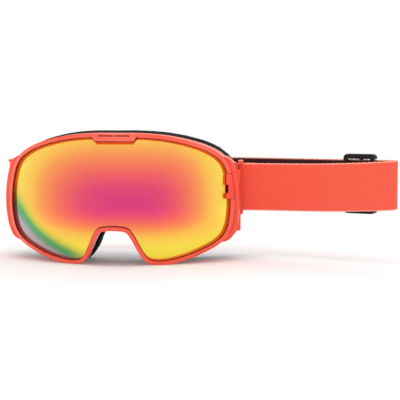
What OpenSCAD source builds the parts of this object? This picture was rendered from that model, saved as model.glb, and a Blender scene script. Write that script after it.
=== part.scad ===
// Ski goggles: a spherical double lens in a moulded rim, a soft inner frame with
// layered face foam, swinging outriggers and an adjustable elastic strap.
// Millimetres. +X is the wearer's left, +Y points at the wearer's face, +Z is up.
// The origin is the middle of the face opening, on the plane of symmetry.

/* [Lens] */
// Radius of the lens's outer sphere
lens_r = 116; // [108:1:135]
// How far the lens's foremost point stands in front of the origin
lens_reach = 52; // [48:1:60]
// Thickness of the outer lens
outer_lens_t = 1.5; // [1:0.1:2.2]
// Thickness of the inner lens
inner_lens_t = 0.9; // [0.7:0.1:1.4]
// Air gap that the foam spacer keeps between the lenses
lens_gap = 4.4; // [3:0.1:5]
// Width of the foam spacer
spacer_w = 3; // [2:0.5:4]
// How far the spacer lies inside the edge of the outer lens
spacer_inset = 3.4; // [3.2:0.1:5]

/* [Outer frame] */
// Width of the rim, seen from the front
rim_w = 3.4; // [2.8:0.1:5]
// How far the rim stands proud of the lens
rim_proud = 2.4; // [1.2:0.1:3.5]
// Depth of the rim behind the lens's outer surface
rim_depth = 9; // [8.2:0.1:11]
// How far the seat reaches under the edge of the lens
seat_w = 2.5; // [1.5:0.1:2.9]
// Gap round the lens, and between it and its seat
lens_clear = 0.4; // [0.3:0.05:0.8]
// Height of the flats that the goggles stand on, below the origin
foot_z = 50; // [49:0.2:51]

/* [Brow trim] */
// Half width of the trim at its top
trim_top = 18.5; // [14:0.5:24]
// Half width of the trim at its bottom
trim_bottom = 15.7; // [12:0.1:22]
// How far the trim drops below the lens's top line
trim_drop = 2.6; // [1:0.1:5]
// Thickness of the trim
trim_t = 1.2; // [0.8:0.1:2]
// Half length of the vent slot in the trim
trim_slot = 12.2; // [8:0.2:16]

/* [Release lever] */
// Height of the lever
lever_h = 19.6; // [14:0.2:24]
// Height of the lever's middle above the origin
lever_z = 10.2; // [4:0.2:14]
// Radius of the lever's pin
lever_pin_r = 0.8; // [0.6:0.05:1]

/* [Inner frame and foam] */
// Radius of the face curve, seen from above
face_r = 110; // [98:1:130]
// Wall of the inner frame
wall_t = 2; // [1.4:0.1:2.4]
// Thickness of the flange that carries the foam
flange_t = 2; // [1.5:0.1:3]
// Thickness of the base foam
base_foam_t = 8; // [5:0.5:9]
// Thickness of the middle foam
middle_foam_t = 7; // [4:0.5:8]
// Thickness of the fleece facing
fleece_t = 2; // [1:0.5:3]
// Width of the foam ring
foam_w = 13; // [9:0.5:15]
// Thickness of the foam over the vents
vent_foam_t = 2.2; // [1.5:0.1:2.4]

/* [Outriggers] */
// Height of the outrigger above the origin
wing_top = 28; // [27.5:0.5:32]
// Depth of the outrigger below the origin
wing_bottom = 30; // [24:0.5:34]
// Thickness of the outrigger
wing_t = 3.4; // [2.6:0.1:4]
// Radius of the hinge knuckles
knuckle_r = 2.8; // [2.4:0.1:3]
// Radius of the hinge pin
hinge_pin_r = 1.2; // [0.9:0.05:1.4]
// Running clearance round each pin
pin_clear = 0.05; // [0.03:0.01:0.1]

/* [Strap] */
// Width of the webbing
strap_w = 38; // [30:1:38]
// Thickness of the webbing
strap_t = 1.8; // [1.2:0.1:2]
// Height of the webbing's middle above the origin
strap_z = 7.5; // [5:0.5:8]
// How much higher the webbing's fold is held than its ends
strap_rise = 5.2; // [0:0.2:6]
// How far from the plane of symmetry the folded strap reaches
strap_reach = 214; // [190:1:240]
// Height of the slider
slider_h = 47; // [44:1:52]
// Width of the slider, along the strap
slider_w = 27; // [20:1:30]
// Thickness of the slider's bars
slider_t = 1.6; // [1.2:0.1:2.2]

/* [Hidden] */
$fn = 160;

CORAL = "#FF5F46";
CORAL_DEEP = "#F04A34";
BLACK = "#1C1C1E";
EPS = 0.01;
far = 400;

// Front view of half the lens's outline, from the brow to the nose arch, as [x, z]
half_outline = [
    [0, 49.2], [20, 49], [40, 47], [60, 42], [74, 35.6], [82.5, 27.5], [86.3, 14.5],
    [87.7, 0], [87.2, -13], [84.6, -24.5], [79, -31.8], [69, -37.6], [55, -43.2],
    [41, -46.6], [31.5, -46.8], [25.6, -43.8], [20.6, -35], [15.6, -25], [9, -19.6]
];

// One point of the curve through b and c, with a and d as its outer neighbours
function bend(a, b, c, d, t) =
    0.5 * (2 * b + (c - a) * t + (2 * a - 5 * b + 4 * c - d) * t * t
        + (3 * b - a - 3 * c + d) * t * t * t);
// The closed curve through the points p, with n steps from one to the next
function closed_curve(p, n) = let (m = len(p)) [
    for (i = [0 : m - 1]) for (k = [0 : n - 1])
        bend(p[(i + m - 1) % m], p[i], p[(i + 1) % m], p[(i + 2) % m], k / n)
];
// The open curve through the points p, with n steps from one to the next
function open_curve(p, n) = let (m = len(p)) concat([
    for (i = [0 : m - 2]) for (k = [0 : n - 1])
        bend(p[max(i - 1, 0)], p[i], p[i + 1], p[min(i + 2, m - 1)], k / n)
], [p[m - 1]]);
// The unit normal of a path at its point i
function side(p, i) = let (
    v = p[min(i + 1, len(p) - 1)] - p[max(i - 1, 0)]) [-v[1], v[0]] / norm(v);
// A path shifted sideways by d
function shifted(p, d) = [for (i = [0 : len(p) - 1]) p[i] + d * side(p, i)];
function reversed(p) = [for (i = [len(p) - 1 : -1 : 0]) p[i]];

lens_centre_y = lens_r - lens_reach;
full_outline = concat(half_outline,
    [for (i = [len(half_outline) - 1 : -1 : 1]) [-half_outline[i][0], half_outline[i][1]]]);
outline_points = closed_curve(full_outline, 3);
lens_top = half_outline[0][1];
lens_side = half_outline[7][0];

seat_level = -outer_lens_t - lens_clear;
inner_lens_level = -outer_lens_t - lens_gap;
foam_t = base_foam_t + middle_foam_t + fleece_t;
joint_gap = 0.15;
bond_gap = 0.05;
flange_back = foam_t + joint_gap;
flange_front = flange_back + flange_t;
foam_grow = 3.4;
// The foam is narrower than the lens, which leaves the outriggers room to swing in
temple_x = lens_side - 1.7;
temple_y = face_r - sqrt(face_r * face_r - temple_x * temple_x);

// The outer frame's cut for the lever, and the lever in it
lever_x = lens_side - 2.8;
lever_gap = 0.35;
lever_pocket_back = lens_centre_y - 68;
lever_pin_x = lens_side + 1.6;
lever_pin_y = lever_pocket_back - 2.2;
lever_barrel_r = lever_pin_r + 1;
lever_bottom = lever_z - lever_h / 2;
lever_top = lever_z + lever_h / 2;
spring_h = 3.4;

// The outrigger's hinge axis and its knuckles
hinge_x = lens_side + rim_w + 0.8;
hinge_y = 5.5;
frame_knuckle = [-12.3, -0.5];
knuckle_gap = 0.3;
outrigger_knuckles = [[-27, frame_knuckle[0] - knuckle_gap], [frame_knuckle[1] + knuckle_gap, 22]];
wing_front_y = hinge_y - 2;
wing_back_y = 12.5;
wing_grow = rim_w + 0.6;
wing_root_x = lens_side * 0.8;

// The bar that the strap loops round, and the slot in front of it
bar_r = 1.4;
bar_x = hinge_x + 2.4;
slot_depth = 4.4;
bar_y = wing_back_y + slot_depth + bar_r;
arm_t = 2;
strap_low = strap_z - strap_w / 2;
strap_high = strap_z + strap_w / 2;
strap_play = 0.6;
loop_r = bar_r + 0.35;

// The webbing's route seen from above: out from the right-hand bar, round the fold,
// straight back to the right temple, behind the foam and round to the left-hand bar
tail = 13;
seam_gap = 0.6;
leg = loop_r + strap_t / 2;
back_run_y = temple_y + 10;
front_start = [bar_x + tail, bar_y - leg];
fold_r = 3.4;
fold_middle = [strap_reach - fold_r, -19.6];
fold_from = -105;
temple_turn = [temple_x + 6, temple_y + 5.2];
to_turn = temple_turn - fold_middle;
fold_to = atan2(to_turn[1], to_turn[0]) - acos(fold_r / norm(to_turn));
function arc(middle, r, from, to, n) = [
    for (i = [0 : n]) let (a = from + (to - from) * i / n) middle + r * [cos(a), sin(a)]];
fold_arc = arc(fold_middle, fold_r, fold_from, fold_to, 14);
fold_back = fold_arc[len(fold_arc) - 1];
function front_at(t, lift) = front_start + (fold_arc[0] - front_start) * t + [0, lift];
function back_at(t) = fold_back + (temple_turn - fold_back) * t;
front_route = [
    front_start, front_at(0.16, 3.9), front_at(0.42, 2.8), front_at(0.68, 1),
    front_at(0.87, -0.2), fold_arc[0], fold_arc[1]
];
back_route = [
    back_at(0), back_at(0.185), back_at(0.4), back_at(0.7), back_at(0.88),
    temple_turn, [temple_x - 6, back_run_y - 0.9], [temple_x - 26, back_run_y],
    [0, back_run_y], [26 - temple_x, back_run_y], [-temple_x + 6, back_run_y - 0.4],
    [-temple_x - 3.4, back_run_y - 2.6], [-bar_x - leg + 1.6, back_run_y - 8],
    [-bar_x - leg, back_run_y - 14], [-bar_x - leg, bar_y + tail]
];
function without_ends(p) = [for (i = [1 : len(p) - 2]) p[i]];
front_path = open_curve(front_route, 4);
band_path = concat(
    [for (i = [0 : len(front_path) - 6]) front_path[i]], without_ends(fold_arc),
    open_curve(back_route, 4));
front_count = len(front_path) - 5 + len(fold_arc) / 2;
// Height of the webbing's middle along its front run and its back run
function front_z(x) = let (t = (x - front_start[0]) / (strap_reach - front_start[0]))
    strap_z + strap_rise * t * t;
function back_z(x) = strap_z + strap_rise * (x + bar_x + leg) / (strap_reach + bar_x + leg);
slider_at = back_at(0.185);
slider_turn = fold_to - 90;
slider_tilt = atan(strap_rise / (strap_reach + bar_x + leg) * cos(slider_turn));

// A block that takes in everything from the outside to a sphere at a level of the lens
module ball(level) {
    translate([0, lens_centre_y, 0]) sphere(r = lens_r + level);
}

// The layer between two levels of the lens's sphere, cut to a front-view shape
module lens_layer(front, back) {
    difference() {
        intersection() {
            ball(front);
            rotate([90, 0, 0]) translate([0, 0, -lens_centre_y]) linear_extrude(far) children();
        }
        ball(back);
    }
}

// A front-view shape drawn through the whole depth
module through() {
    rotate([90, 0, 0]) translate([0, 0, -far / 2]) linear_extrude(far) children();
}

// The cylinder that follows the face, at a distance in front of it
module face_roll(distance) {
    translate([0, face_r, -far / 2]) cylinder(r = face_r + distance, h = far);
}

// The layer between two distances from the face, cut to a front-view shape
module face_layer(front, back) {
    difference() {
        intersection() {
            face_roll(front);
            rotate([90, 0, 0]) translate([0, 0, -face_r * 0.7]) linear_extrude(far) children();
        }
        face_roll(back);
    }
}

module outline(grow = 0) {
    offset(delta = grow) polygon(outline_points);
}

// The outline without what lies below the flats that the goggles stand on
module standing(grow, half_width = far / 2) {
    intersection() {
        outline(grow);
        translate([-half_width, -foot_z]) square([2 * half_width, far]);
    }
}

module ring(grow, shrink, half_width = far / 2) {
    difference() {
        standing(grow, half_width);
        outline(shrink);
    }
}

module trim_shape(play = 0) {
    polygon([
        [-trim_top - play, lens_top + rim_w + play], [trim_top + play, lens_top + rim_w + play],
        [trim_bottom + play, lens_top - trim_drop - play],
        [-trim_bottom - play, lens_top - trim_drop - play]
    ]);
}

module lever_notch(play = 0) {
    translate([lever_x - play, lever_bottom - play])
        square([30, lever_h + 2 * play]);
}

module post(x, y, z0, z1, r) {
    translate([x, y, z0]) cylinder(r = r, h = z1 - z0);
}

// Rim with the lens's seat, the lever's pocket and the hinge knuckles
module outer_frame() {
    color(CORAL) difference() {
        union() {
            lens_layer(rim_proud, -rim_depth) ring(rim_w, -seat_w);
            for (s = [-1, 1]) post(s * hinge_x, hinge_y, frame_knuckle[0], frame_knuckle[1], knuckle_r);
        }
        lens_layer(rim_proud + 1, seat_level) outline(lens_clear);
        for (s = [-1, 1]) {
            post(s * hinge_x, hinge_y, -40, 40, hinge_pin_r + pin_clear);
            for (k = outrigger_knuckles)
                post(s * hinge_x, hinge_y, k[0] - 2, k[1] + (k[1] < 0 ? knuckle_gap : 12), knuckle_r + 0.4);
            post(s * hinge_x, hinge_y, frame_knuckle[1], 40, knuckle_r + 0.4);
        }
        translate([lever_x - lever_gap, lever_pocket_back - 40, lever_bottom - lever_gap])
            cube([30, 40, lever_h + 2 * lever_gap]);
        post(lever_pin_x, lever_pin_y, lever_bottom - 2, lever_top + 2, lever_pin_r + pin_clear);
    }
}

// Plate over the middle of the brow, with two vent slots and a tongue in the lens's notch
module brow_trim() {
    lift = rim_proud + 0.1;
    slot_z = lens_top + 0.9;
    color(CORAL) difference() {
        union() {
            lens_layer(lift + trim_t, lift) trim_shape();
            lens_layer(lift + 0.2, seat_level + 0.2) intersection() {
                trim_shape(-0.2);
                translate([-far / 2, 0]) square([far, lens_top + lens_clear - 0.2]);
            }
        }
        for (s = [-1, 1]) through()
            translate([s * (trim_slot + 0.6) / 2 - (trim_slot - 0.6) / 2, slot_z]) square([trim_slot - 0.6, 1.1]);
    }
}

module outer_lens() {
    color("#E0457E") lens_layer(0, -outer_lens_t) difference() {
        outline();
        trim_shape(lens_clear);
        lever_notch(lens_clear);
    }
}

module lens_spacer() {
    color(BLACK) lens_layer(-outer_lens_t - bond_gap, inner_lens_level + bond_gap) difference() {
        outline(-spacer_inset);
        outline(-spacer_inset - spacer_w);
        lever_notch(2 * lens_clear);
    }
}

module inner_lens() {
    color("#9A5A3C") lens_layer(inner_lens_level, inner_lens_level - inner_lens_t) difference() {
        outline(-spacer_inset);
        lever_notch(2 * lens_clear);
    }
}

// Lever that catches the lens's edge: a nose at the top and a window below it
module release_lever() {
    window_h = 6.8;
    window_z = lever_z - 5.4;
    middle_z = lever_z - spring_h / 2;
    color(CORAL_DEEP) difference() {
        union() {
            intersection() {
                lens_layer(rim_proud - 0.2, -far / 4) standing(rim_w - 0.1);
                translate([lever_x, -60, lever_bottom])
                    cube([30, 60 + lever_pin_y, lever_h]);
            }
            post(lever_pin_x, lever_pin_y, lever_bottom, lever_top, lever_barrel_r);
        }
        post(lever_pin_x, lever_pin_y, -far, far, lever_pin_r + pin_clear);
        post(lever_pin_x, lever_pin_y, middle_z - 0.3, middle_z + spring_h + 0.3, lever_barrel_r + 0.4);
        translate([lever_x - 1, -60, window_z]) cube([2.6, 60, window_h]);
    }
}

module lever_pin() {
    color("silver") post(lever_pin_x, lever_pin_y, lever_bottom - 1.9, lever_top + 1.9, lever_pin_r);
}

// Torsion spring on the lever's pin
module lever_spring() {
    color("silver") difference() {
        post(lever_pin_x, lever_pin_y, lever_z - spring_h / 2, lever_z + spring_h / 2, lever_pin_r + 0.9);
        post(lever_pin_x, lever_pin_y, -far, far, lever_pin_r + 0.15);
    }
}

// The part of the wall's depth that lies behind the rim and in front of the foam
module behind_rim(gap = joint_gap) {
    difference() {
        intersection() {
            ball(-rim_depth - gap);
            face_front(0) children();
        }
    }
}

// All that lies in front of the foam's flange
module face_front(extra) {
    difference() {
        rotate([90, 0, 0]) translate([0, 0, -face_r * 0.7]) linear_extrude(far) children();
        face_roll(flange_back + extra);
    }
}

// Vent openings in the wall, as columns of x in the front view
brow_vents = [-48, -24, 0, 24, 48];
vent_w = 17;
module vent_cut(x, z) {
    translate([x - vent_w / 2, -far / 2, z]) cube([vent_w, far, 14]);
}

// Soft wall behind the rim, with the flange that carries the foam
module inner_frame() {
    wall_out = 0.8;
    color(BLACK) difference() {
        union() {
            behind_rim() ring(wall_out, wall_out - wall_t);
            intersection() {
                face_layer(flange_front, flange_back) ring(foam_grow, foam_grow - foam_w + 1, temple_x + 0.6);
                ball(-rim_depth - joint_gap);
            }
        }
        for (x = brow_vents) intersection() {
            vent_cut(x, 30);
            ball(-rim_depth - 3);
            face_front(flange_t + 2) square([far, far], center = true);
        }
        for (s = [-1, 1]) intersection() {
            vent_cut(s * 46, -56);
            ball(-rim_depth - 3);
            face_front(flange_t + 2) square([far, far], center = true);
        }
    }
}

// Open-cell foam laid over the vents, between the rim and the flange
module vent_foam(x0, x1, z0, z1) {
    color(BLACK) intersection() {
        ball(-rim_depth - 2 * joint_gap);
        face_front(flange_t + joint_gap) intersection() {
            ring(1 + vent_foam_t, 1);
            translate([x0, z0]) square([x1 - x0, z1 - z0]);
        }
    }
}

module brow_vent_foam() vent_foam(-64, 64, 20, 80);
module cheek_vent_foam_left() vent_foam(-60, -33, -80, -30);
module cheek_vent_foam_right() vent_foam(33, 60, -80, -30);

module foam_ring(front, back, grow, width) {
    face_layer(front, back) ring(grow, grow - width, temple_x + grow - foam_grow);
}
module face_foam_base() {
    color("#2A2A2C") foam_ring(foam_t, middle_foam_t + fleece_t + 0.05, foam_grow, foam_w);
}
module face_foam_middle() {
    color("#3A3A3D") foam_ring(middle_foam_t + fleece_t, fleece_t + 0.05, foam_grow - 0.4, foam_w);
}
module face_fleece() {
    color("#151516") foam_ring(fleece_t, 0, foam_grow, foam_w + 0.8);
}

// Wing on the rim's side: hinge knuckles in front, a bar for the strap behind
module outrigger(s) {
    arms = [strap_low - strap_play - arm_t, strap_high + strap_play];
    color(CORAL_DEEP) difference() {
        union() {
            intersection() {
                through() intersection() {
                    difference() {
                        outline(wing_grow + wing_t);
                        outline(wing_grow);
                    }
                    translate([s > 0 ? wing_root_x : -far, -wing_bottom])
                        square([far - (s > 0 ? 0 : wing_root_x), wing_bottom + wing_top]);
                }
                translate([-far / 2, wing_front_y, -far / 2]) cube([far, wing_back_y - wing_front_y, far]);
            }
            for (k = outrigger_knuckles) post(s * hinge_x, hinge_y, k[0], k[1], knuckle_r);
            for (z = arms) translate([s * bar_x - arm_t / 2 - (s > 0 ? 1 : 0.6), wing_back_y - 6, z])
                cube([arm_t + 1.6, bar_y - wing_back_y + 6, arm_t]);
            post(s * bar_x, bar_y, arms[0], arms[1] + arm_t, bar_r);
        }
        post(s * hinge_x, hinge_y, -far, far, hinge_pin_r + pin_clear);
        post(s * hinge_x, hinge_y, frame_knuckle[0] - knuckle_gap, frame_knuckle[1] + knuckle_gap, knuckle_r + 0.3);
    }
}
module outrigger_left() outrigger(-1);
module outrigger_right() outrigger(1);

module outrigger_pin(s) {
    color("silver")
        post(s * hinge_x, hinge_y, outrigger_knuckles[0][0] - 0.2, outrigger_knuckles[1][1] + 0.2, hinge_pin_r);
}
module outrigger_pin_left() outrigger_pin(-1);
module outrigger_pin_right() outrigger_pin(1);

module webbing(path, t = strap_t, w = strap_w, z = strap_z) {
    translate([0, 0, z - w / 2]) linear_extrude(w)
        polygon(concat(shifted(path, t / 2), reversed(shifted(path, -t / 2))));
}

// Sewn loop of webbing round the outrigger's bar, seen from above with the bar at [0, 0]
module strap_loop() {
    tip = tail - seam_gap;
    path = concat(
        [[tip, -leg]], arc([0, 0], leg, -90, -270, 16), [[tip / 3, leg * 0.6], [tip - 1, 2.2 * strap_t / 2 - leg + 0.2]]);
    color(CORAL) webbing(path);
}
module strap_end_right() translate([bar_x, bar_y, 0]) strap_loop();
module strap_end_left() translate([-bar_x, bar_y, 0]) rotate([0, 0, 90]) mirror([0, 1, 0]) strap_loop();

// The whole route as one swept body, because its height changes along the way
module strap_band() {
    rings = len(band_path);
    sides = [[-1, -1], [1, -1], [1, 1], [-1, 1]];
    points = [for (i = [0 : rings - 1]) let (
        p = band_path[i],
        n = side(band_path, i),
        z = i < front_count ? front_z(p[0]) : back_z(p[0])
    ) for (c = sides) [p[0] + n[0] * c[0] * strap_t / 2, p[1] + n[1] * c[0] * strap_t / 2, z + c[1] * strap_w / 2]];
    walls = [for (i = [0 : rings - 2]) for (k = [0 : 3])
        [i * 4 + k, i * 4 + 4 + k, i * 4 + 4 + (k + 1) % 4, i * 4 + (k + 1) % 4]];
    ends = [[0, 1, 2, 3], [for (k = [3 : -1 : 0]) (rings - 1) * 4 + k]];
    color(CORAL) polyhedron(points, concat(walls, ends));
}

// Silicone lines inside the strap, where it lies on a helmet
module grip(z) {
    grip_t = 0.7;
    half = temple_x - 34;
    color("#B8402E") translate([-half, back_run_y - strap_t / 2 - 0.1 - grip_t, z - 1.5])
        cube([2 * half, grip_t, 3]);
}
module strap_grip_upper() grip(back_z(0) + 11);
module strap_grip_lower() grip(back_z(0) - 11);

// Ladder slider: the webbing lies behind its end bars and in front of its middle bar
module strap_slider() {
    rail_t = (slider_h - strap_w) / 2 - 0.6;
    bar_w = 3.6;
    depth = strap_t + 2 * slider_t + 0.8;
    color(BLACK) translate([slider_at[0], slider_at[1], back_z(slider_at[0])])
        rotate([0, 0, slider_turn]) rotate([0, -slider_tilt, 0]) {
        for (s = [-1, 1]) translate([-slider_w / 2, -depth / 2, s > 0 ? slider_h / 2 - rail_t : -slider_h / 2])
            cube([slider_w, depth, rail_t]);
        for (s = [-1, 1]) translate([s * (slider_w - bar_w) / 2 - bar_w / 2, -depth / 2, -slider_h / 2])
            cube([bar_w, slider_t, slider_h]);
        translate([-bar_w / 2, depth / 2 - slider_t, -slider_h / 2]) cube([bar_w, slider_t, slider_h]);
    }
}

outer_frame();
brow_trim();
outer_lens();
inner_lens();
lens_spacer();
release_lever();
lever_pin();
lever_spring();
inner_frame();
brow_vent_foam();
cheek_vent_foam_left();
cheek_vent_foam_right();
face_foam_base();
face_foam_middle();
face_fleece();
outrigger_left();
outrigger_right();
outrigger_pin_left();
outrigger_pin_right();
strap_end_left();
strap_end_right();
strap_band();
strap_slider();
strap_grip_upper();
strap_grip_lower();
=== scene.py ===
"""Looks of a pair of ski goggles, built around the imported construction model.

Lengths are given in millimetres and turned to metres where a mesh is made. The goggles
look along -Y, the strap is held out to +X, and the face side is +Y.
"""

import logging
import math
from dataclasses import dataclass, field
from enum import Enum
from typing import Iterable, Sequence

import bmesh
import bpy
from mathutils import Matrix, Vector, noise


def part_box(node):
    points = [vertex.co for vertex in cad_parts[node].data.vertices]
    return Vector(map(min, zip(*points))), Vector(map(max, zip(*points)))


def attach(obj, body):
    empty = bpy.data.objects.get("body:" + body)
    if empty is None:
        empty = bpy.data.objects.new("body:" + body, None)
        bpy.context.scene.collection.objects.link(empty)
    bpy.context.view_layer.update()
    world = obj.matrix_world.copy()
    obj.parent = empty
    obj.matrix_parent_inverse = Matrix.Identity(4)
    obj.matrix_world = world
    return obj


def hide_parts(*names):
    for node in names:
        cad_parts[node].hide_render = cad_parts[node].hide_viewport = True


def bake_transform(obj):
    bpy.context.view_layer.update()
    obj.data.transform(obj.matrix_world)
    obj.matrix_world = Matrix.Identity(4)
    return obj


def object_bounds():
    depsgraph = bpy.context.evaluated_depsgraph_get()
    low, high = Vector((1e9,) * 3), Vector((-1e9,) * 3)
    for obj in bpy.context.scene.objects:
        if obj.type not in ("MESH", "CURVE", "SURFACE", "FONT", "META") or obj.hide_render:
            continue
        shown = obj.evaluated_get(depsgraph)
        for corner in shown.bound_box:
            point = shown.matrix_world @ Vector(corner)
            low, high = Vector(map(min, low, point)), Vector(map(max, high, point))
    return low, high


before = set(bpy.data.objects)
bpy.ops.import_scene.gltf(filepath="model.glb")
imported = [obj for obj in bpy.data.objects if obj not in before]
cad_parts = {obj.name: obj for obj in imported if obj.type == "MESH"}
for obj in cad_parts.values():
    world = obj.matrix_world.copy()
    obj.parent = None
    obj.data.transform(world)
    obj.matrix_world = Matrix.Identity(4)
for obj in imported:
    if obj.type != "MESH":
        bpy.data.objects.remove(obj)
CAD_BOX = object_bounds()

LOG = logging.getLogger("goggles")
MM = 0.001
SHARP_DEG = 38.0
Colour = tuple[float, float, float, float]
Loop = list[Vector]


class Body(Enum):
    """The bodies that pieces ride on."""

    FRAME = "frame"
    LENS = "lens"
    LEVER = "lever"
    LEFT = "left_outrigger"
    RIGHT = "right_outrigger"
    SLIDER = "slider"


class Slot(Enum):
    """The record's material slots."""

    SHELL = "coral_shell"
    MIRROR = "mirror_lens"
    CLEAR = "clear_lens"
    INNER_FRAME = "black_frame"
    VENT_FOAM = "vent_foam"
    FACE_FOAM = "face_foam"
    FLEECE = "fleece"
    STEEL = "steel"
    WEBBING = "webbing"
    SLIDER = "black_plastic"
    SILICONE = "silicone"


# ---------------------------------------------------------------- colour and nodes


def linear(code: str) -> Colour:
    """Turn an sRGB hex value to linear light.

    Args:
        code: Six hex digits.

    Returns:
        The linear colour with full alpha.
    """
    parts = [int(code[i : i + 2], 16) / 255 for i in (0, 2, 4)]
    low = [c / 12.92 if c <= 0.04045 else ((c + 0.055) / 1.055) ** 2.4 for c in parts]
    return (low[0], low[1], low[2], 1.0)


def add_node(
    tree: bpy.types.NodeTree,
    kind: str,
    inputs: dict | None = None,
    stops: Sequence[tuple[float, str]] = (),
    **settings: object,
) -> bpy.types.Node:
    """Add a node with its settings and links.

    Args:
        tree: The node tree.
        kind: The node's type name.
        inputs: Value or linked output socket for each input, by name or number.
        stops: Places and hex colours of a colour ramp.
        **settings: The node's own properties.

    Returns:
        The new node.
    """
    node = tree.nodes.new(kind)
    for key, value in settings.items():
        setattr(node, key, value)
    for key, value in (inputs or {}).items():
        if isinstance(value, bpy.types.NodeSocket):
            tree.links.new(value, node.inputs[key])
        else:
            node.inputs[key].default_value = value
    if stops:
        ramp = node.color_ramp.elements
        while len(ramp) < len(stops):
            ramp.new(1.0)
        for element, (place, code) in zip(ramp, stops):
            element.position = place
            element.color = linear(code)
    return node


# ---------------------------------------------------------------- finishes


@dataclass(frozen=True)
class Finish:
    """A material that is made once and shared by its pieces."""

    name: str

    def material(self) -> bpy.types.Material:
        """Return the finish's material, made on first use.

        Returns:
            The material.
        """
        found = bpy.data.materials.get(self.name)
        if found:
            return found
        made = bpy.data.materials.new(self.name)
        made.use_nodes = True
        tree = made.node_tree
        shader = tree.nodes["Principled BSDF"]
        self.dress(tree, shader)
        return made

    def dress(self, tree: bpy.types.NodeTree, shader: bpy.types.Node) -> None:
        """Give the shader its colour, gloss and relief.

        Args:
            tree: The material's node tree.
            shader: Its shader.
        """
        raise NotImplementedError

    @staticmethod
    def relief(
        tree: bpy.types.NodeTree,
        shader: bpy.types.Node,
        height: bpy.types.NodeSocket,
        depth_mm: float,
        strength: float = 1.0,
    ) -> None:
        """Turn a height pattern into bump.

        Args:
            tree: The node tree.
            shader: The shader that takes the bump.
            height: A pattern from 0 to 1.
            depth_mm: How deep the pattern is.
            strength: Share of the bump that shows.
        """
        bump = add_node(
            tree,
            "ShaderNodeBump",
            {"Height": height, "Distance": depth_mm * MM, "Strength": strength},
        )
        tree.links.new(bump.outputs[0], shader.inputs["Normal"])


@dataclass(frozen=True)
class MouldedPlastic(Finish):
    """Injection-moulded thermoplastic: even colour, fine spark-eroded grain, soft gloss."""

    colour: str = "FF5F46"
    deep: str = "F4492F"
    roughness: float = 0.34
    grain_mm: float = 0.5
    grain_depth_mm: float = 0.012
    coat: float = 0.15
    shine: float = 0.5

    def dress(self, tree: bpy.types.NodeTree, shader: bpy.types.Node) -> None:
        """Mix two near shades over the part and break the gloss with grain.

        Args:
            tree: The material's node tree.
            shader: Its shader.
        """
        place = add_node(tree, "ShaderNodeTexCoord").outputs["Object"]
        # Flow of the melt leaves a faint cloudiness a few centimetres wide
        cloud = add_node(tree, "ShaderNodeTexNoise", {"Vector": place, "Scale": 28.0, "Detail": 3.0})
        shade = add_node(
            tree,
            "ShaderNodeValToRGB",
            {"Fac": cloud.outputs["Fac"]},
            stops=((0.3, self.deep), (0.62, self.colour)),
        )
        grain = add_node(
            tree,
            "ShaderNodeTexNoise",
            {"Vector": place, "Scale": 1 / (self.grain_mm * MM), "Detail": 2.0},
        )
        gloss = add_node(
            tree,
            "ShaderNodeMapRange",
            {
                "Value": cloud.outputs["Fac"],
                "To Min": self.roughness - 0.05,
                "To Max": self.roughness + 0.07,
            },
        )
        tree.links.new(shade.outputs["Color"], shader.inputs["Base Color"])
        tree.links.new(gloss.outputs["Result"], shader.inputs["Roughness"])
        shader.inputs["IOR"].default_value = 1.5
        shader.inputs["Specular IOR Level"].default_value = self.shine
        shader.inputs["Coat Weight"].default_value = self.coat
        shader.inputs["Coat Roughness"].default_value = 0.2
        self.relief(tree, shader, grain.outputs["Fac"], self.grain_depth_mm)


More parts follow.
